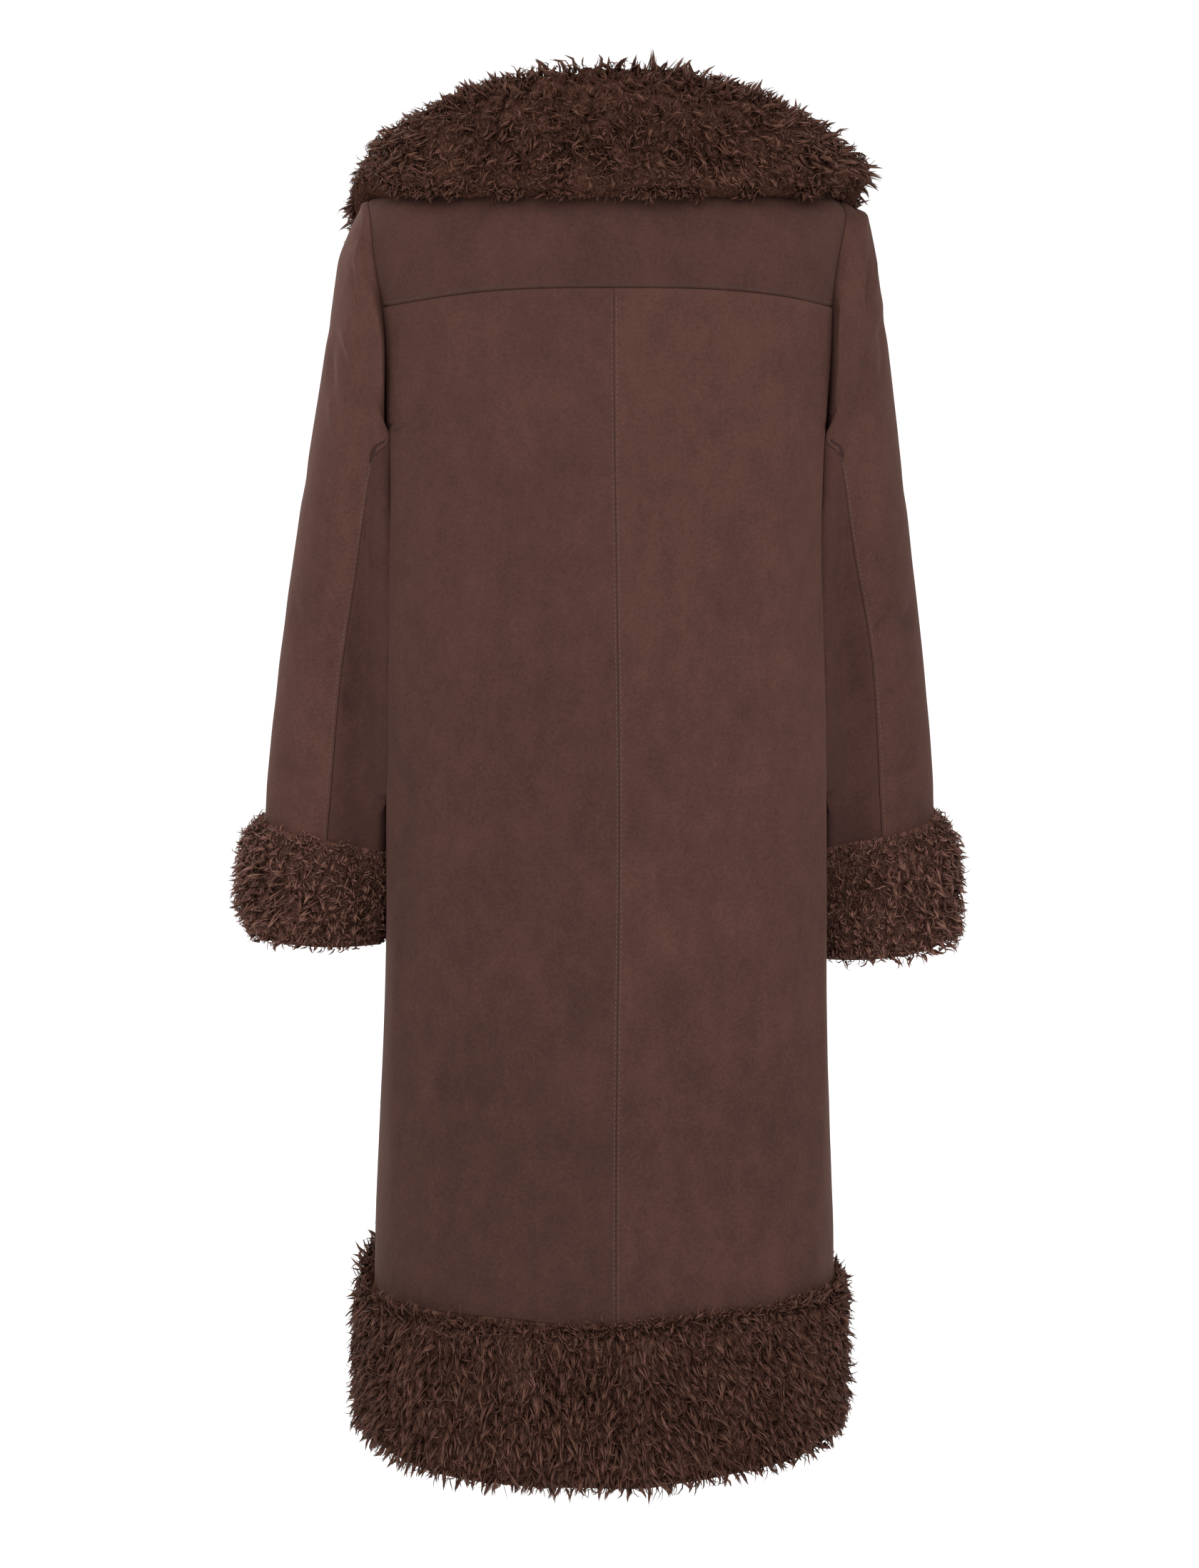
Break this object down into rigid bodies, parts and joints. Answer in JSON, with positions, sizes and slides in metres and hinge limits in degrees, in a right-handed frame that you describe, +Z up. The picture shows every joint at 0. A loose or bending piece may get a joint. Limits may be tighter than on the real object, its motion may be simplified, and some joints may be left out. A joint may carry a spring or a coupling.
{
  "type": "long coat with faux fur trim",
  "caption": "Long straight coat of suede-look cloth, worn and hollow, with a big shaggy faux fur collar, fur cuffs and a fur hem band",
  "frame": {"origin": "the middle of the neck and shoulders, level with the shoulder line, where the wearer carries the coat", "axes": "+Z up, the front faces -Y, +X is the wearer's left"},
  "size_m": [0.6384, 0.343, 1.1961],
  "materials": {
    "suede": "matte, short mottled nap",
    "under_suede": "matte, short nap, a little darker",
    "fur": "shaggy pile with shiny fibre tips"
  },
  "bodies": {
    "root": {"back_yoke": "suede", "back_left": "suede", "back_right": "suede", "front_left": "suede", "front_right": "suede", "sleeve_upper_left": "suede", "sleeve_upper_right": "suede", "sleeve_under_left": "under_suede", "sleeve_under_right": "under_suede", "cuff_fur_left": "fur", "cuff_fur_right": "fur", "hem_fur_back": "fur", "hem_fur_front_left": "fur", "hem_fur_front_right": "fur", "under_collar": "under_suede", "collar_fur": "fur"}
  },
  "joints": []
}
